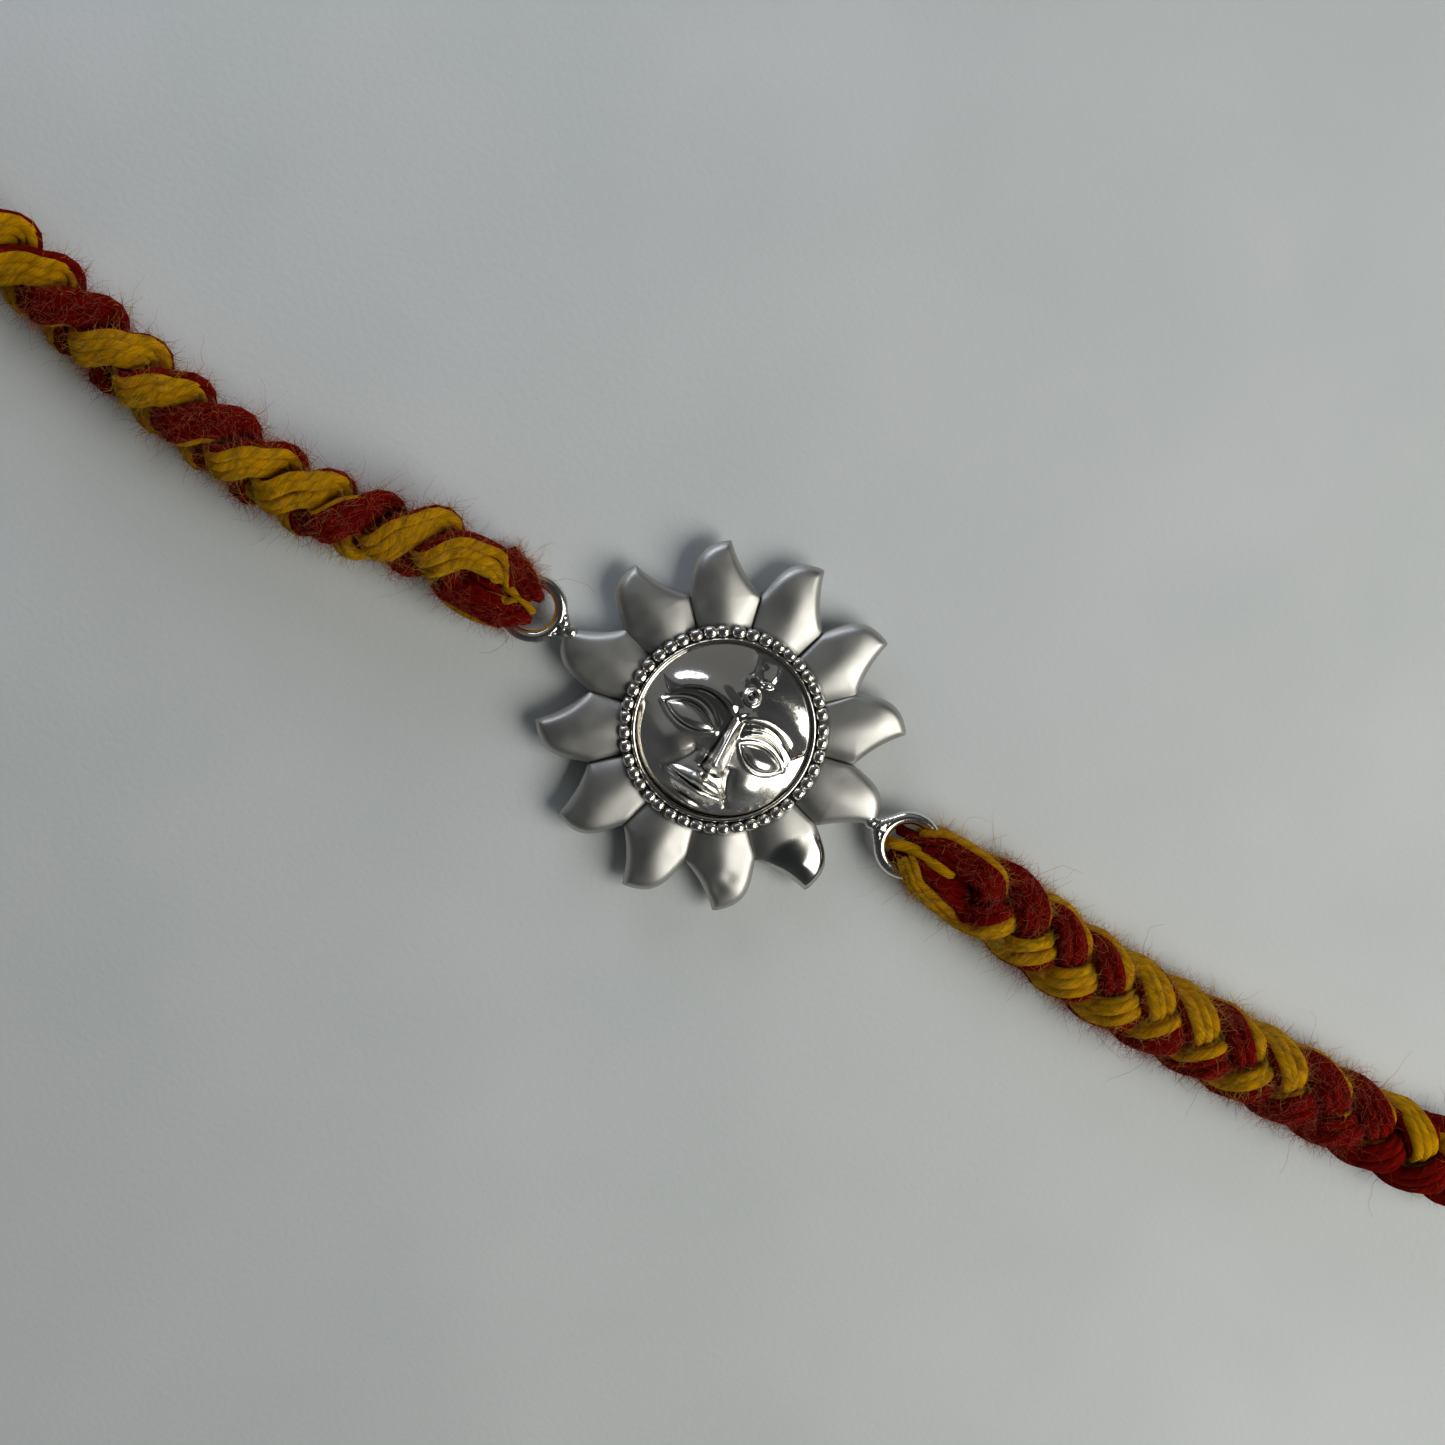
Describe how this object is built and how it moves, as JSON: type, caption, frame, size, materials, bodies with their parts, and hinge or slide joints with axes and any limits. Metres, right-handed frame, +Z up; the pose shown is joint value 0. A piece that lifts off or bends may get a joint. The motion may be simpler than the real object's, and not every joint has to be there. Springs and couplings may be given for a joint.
{
  "type": "rakhi thread bracelet",
  "caption": "Silver sun-face pendant between two jump rings, with a plaited red and yellow yarn arm looped through each ring, closed in one loop by a sleeve of wound thread.",
  "frame": {"origin": "centre of the bounding box, on the surface that the bracelet lies on", "axes": "+X from the left ring to the right ring, +Y towards the top of the face, +Z up out of the face"},
  "size_m": [0.1548, 0.0938, 0.0052],
  "materials": {
    "silver": "cast silver, satin rays and polished face, darkened in the recesses",
    "red_yarn": "soft spun yarn with loose hairs",
    "yellow_yarn": "soft spun yarn with loose hairs",
    "wound_thread": "thread wound side by side"
  },
  "bodies": {
    "root": {"sun_pendant": "silver", "right_strand_over": "red_yarn", "right_strand_under": "red_yarn", "right_strand_edge": "yellow_yarn", "left_strand_over": "yellow_yarn", "left_strand_under": "red_yarn", "left_strand_edge": "yellow_yarn", "closing_sleeve": "wound_thread"}
  },
  "joints": []
}
